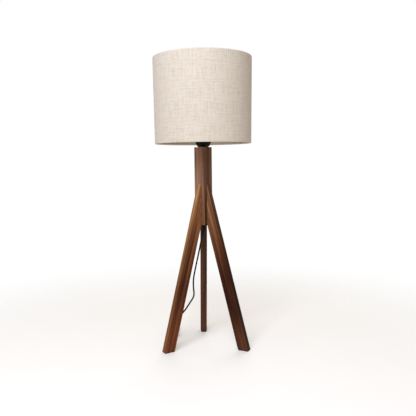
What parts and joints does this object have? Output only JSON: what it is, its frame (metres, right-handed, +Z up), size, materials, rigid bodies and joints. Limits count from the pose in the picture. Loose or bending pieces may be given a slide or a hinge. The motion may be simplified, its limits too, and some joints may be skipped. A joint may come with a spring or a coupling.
{
  "type": "tripod floor lamp",
  "caption": "Floor lamp with a linen drum shade on a three-sided walnut post and three splayed walnut legs, with a black lampholder, a bulb and a black mains lead with switch and plug.",
  "frame": {"origin": "on the floor under the post's axis, midway between the feet", "axes": "+Z up along the post; +Y towards the rear leg; -Y towards the post's front edge"},
  "size_m": [0.4063, 0.4171, 1.2],
  "materials": {
    "walnut": "oiled, satin",
    "dowel_wood": "plain",
    "linen": "woven linen, matt",
    "lining": "matt film",
    "black_plastic": "satin black",
    "black_rubber": "matt",
    "black_metal": "satin black paint",
    "zinc_steel": "zinc plated",
    "brass": "plain",
    "plated_cap": "bright",
    "ceramic_white": "glazed",
    "cream_plastic": "smooth",
    "opal": "opal, satin",
    "glass_black": "black vitrite",
    "board": "coated board",
    "white_wire": "blue insulation",
    "brown_wire": "brown insulation",
    "nylon_tie": "matt strip"
  },
  "bodies": {
    "stand": {"post": "walnut", "leg_left": "walnut", "leg_right": "walnut", "leg_rear": "walnut", "foot_pad_left": "black_rubber", "foot_pad_right": "black_rubber", "foot_pad_rear": "black_rubber", "leg_dowels": "dowel_wood", "lamp_pipe": "zinc_steel", "pipe_washer": "zinc_steel", "pipe_nut_lower": "zinc_steel", "pipe_nut_upper": "zinc_steel", "cord_bushing": "black_plastic", "strain_relief": "black_rubber", "cord_in_pipe": "black_rubber", "socket_cup": "black_metal", "lampholder_cap": "black_plastic", "lampholder_core": "ceramic_white", "lampholder_shell": "black_plastic", "screw_shell": "brass", "centre_contact": "brass", "terminal_blocks": "brass", "terminal_screws": "zinc_steel", "wire_live": "brown_wire", "wire_neutral": "white_wire", "cable_clip": "black_plastic", "clip_nail": "zinc_steel", "cord_hanging": "black_rubber", "cord_on_floor": "black_rubber", "cord_hank": "black_rubber", "hank_tie": "nylon_tie", "cord_plug_end": "black_rubber", "plug_body": "black_plastic", "plug_pins": "brass", "plug_sleeves": "black_plastic", "switch_case_lower": "black_plastic", "switch_case_upper": "black_plastic", "switch_contact": "brass", "switch_terminals": "brass", "switch_screws": "zinc_steel"},
    "shade": {"shade_fabric": "linen", "shade_liner": "lining", "shade_top_ring": "zinc_steel", "shade_bottom_frame": "zinc_steel"},
    "shade_ring": {"shade_ring": "black_plastic"},
    "bulb_eyelet": {"bulb_eyelet": "brass"},
    "bulb": {"bulb_insulator": "glass_black", "bulb_cap": "plated_cap", "bulb_housing": "cream_plastic", "bulb_globe": "opal", "led_board": "board", "led_driver": "board"},
    "switch_rocker": {"switch_rocker": "black_plastic"}
  },
  "joints": [
    {"name": "shade_turn", "type": "hinge", "parent": "stand", "child": "shade", "pos_m": [0, 0, 0.8731], "axis": [0, 0, 1], "continuous": true},
    {"name": "shade_ring_turn", "type": "hinge", "parent": "stand", "child": "shade_ring", "pos_m": [0, 0, 0.8779], "axis": [0, 0, 1], "range_deg": [0, 1080]},
    {"name": "bulb_rise", "type": "slide", "parent": "stand", "child": "bulb_eyelet", "axis": [0, 0, 1], "range_m": [0, 0.022]},
    {"name": "bulb_turn", "type": "hinge", "parent": "bulb_eyelet", "child": "bulb", "pos_m": [0, 0, 0.8786], "axis": [0, 0, 1], "range_deg": [0, 2160]},
    {"name": "switch_rock", "type": "hinge", "parent": "stand", "child": "switch_rocker", "pos_m": [-0.152, 0.029, 0.013], "axis": [1, 0, 0], "range_deg": [0, 18]}
  ],
  "couplings": [
    {"joint": "bulb_rise", "follows": "bulb_turn", "m_per_rad": 0.00057773}
  ]
}
